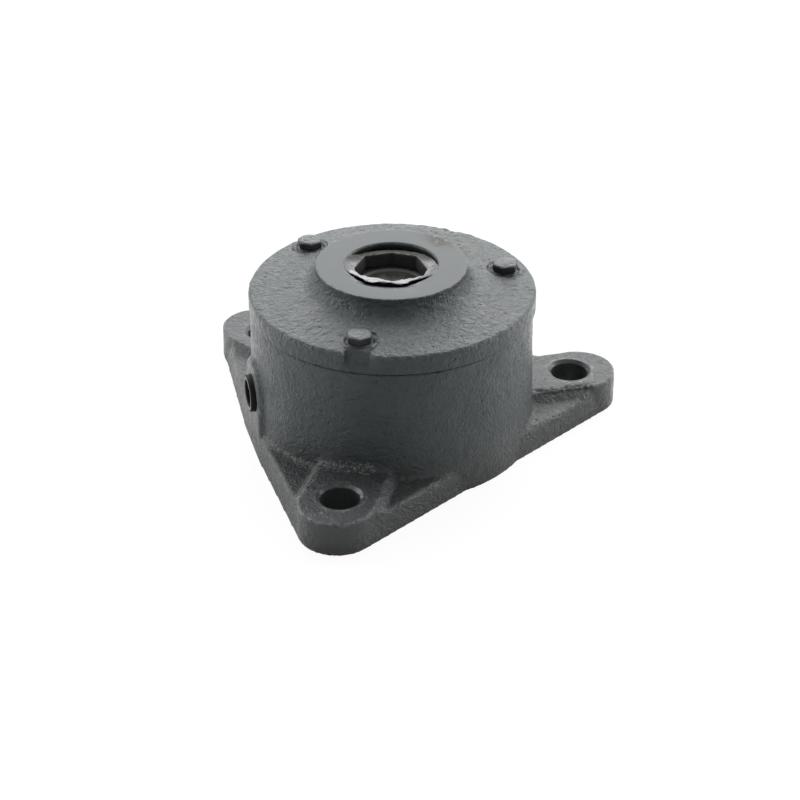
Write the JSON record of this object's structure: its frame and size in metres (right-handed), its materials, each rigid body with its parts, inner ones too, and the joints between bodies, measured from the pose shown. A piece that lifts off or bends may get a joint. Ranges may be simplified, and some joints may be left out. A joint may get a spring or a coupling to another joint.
{
  "type": "flange bearing housing",
  "caption": "Cast flange bearing unit: eared mounting flange, tapered body with a side grease port, bolted boss cover, and a sealed ball bearing on a shaft sleeve.",
  "frame": {"origin": "centre of the bolt circle on the mounting face, where the shaft axis meets it", "axes": "+Z along the shaft axis from the mounting face towards the cover; +X through the middle of one ear, away from the side port"},
  "size_m": [0.1788, 0.1954, 0.0878],
  "materials": {
    "painted_casting": "dark grey paint over a rough sand casting",
    "painted_screw": "dark grey paint, smooth",
    "port_steel": "blackened steel, rusty at the lower edge",
    "bright_ring": "thin bright metal, slightly stained",
    "sleeve_steel": "turned steel",
    "bearing_steel": "ground steel",
    "cage_steel": "pressed steel",
    "spring_steel": "dark spring steel",
    "seal_rubber": "black nitrile rubber",
    "gasket_paper": "thin dark gasket paper"
  },
  "bodies": {
    "stator": {"housing": "painted_casting", "cover": "painted_casting", "gasket": "gasket_paper", "cover_screw_1": "painted_screw", "cover_screw_2": "painted_screw", "cover_screw_3": "painted_screw", "port_bush": "port_steel", "bearing_outer_ring": "bearing_steel", "upper_seal": "seal_rubber", "upper_seal_spring": "spring_steel", "lower_seal": "seal_rubber", "lower_seal_spring": "spring_steel", "bore_ring": "bright_ring"},
    "rotor": {"shaft_sleeve": "sleeve_steel", "bearing_inner_ring": "bearing_steel", "sleeve_circlip": "spring_steel"},
    "ball_cage": {"ball_1": "bearing_steel", "ball_2": "bearing_steel", "ball_3": "bearing_steel", "ball_4": "bearing_steel", "ball_5": "bearing_steel", "ball_6": "bearing_steel", "ball_7": "bearing_steel", "ball_8": "bearing_steel", "ball_9": "bearing_steel", "cage_upper_half": "cage_steel", "cage_lower_half": "cage_steel", "cage_rivets": "cage_steel"}
  },
  "joints": [
    {"name": "rotor_spin", "type": "hinge", "parent": "stator", "child": "rotor", "pos_m": [0, 0, 0.0505], "axis": [0, 0, 1], "continuous": true},
    {"name": "ball_cage_spin", "type": "hinge", "parent": "stator", "child": "ball_cage", "pos_m": [0, 0, 0.0505], "axis": [0, 0, 1], "continuous": true}
  ],
  "couplings": [
    {"joint": "ball_cage_spin", "follows": "rotor_spin", "ratio": 0.4023}
  ]
}
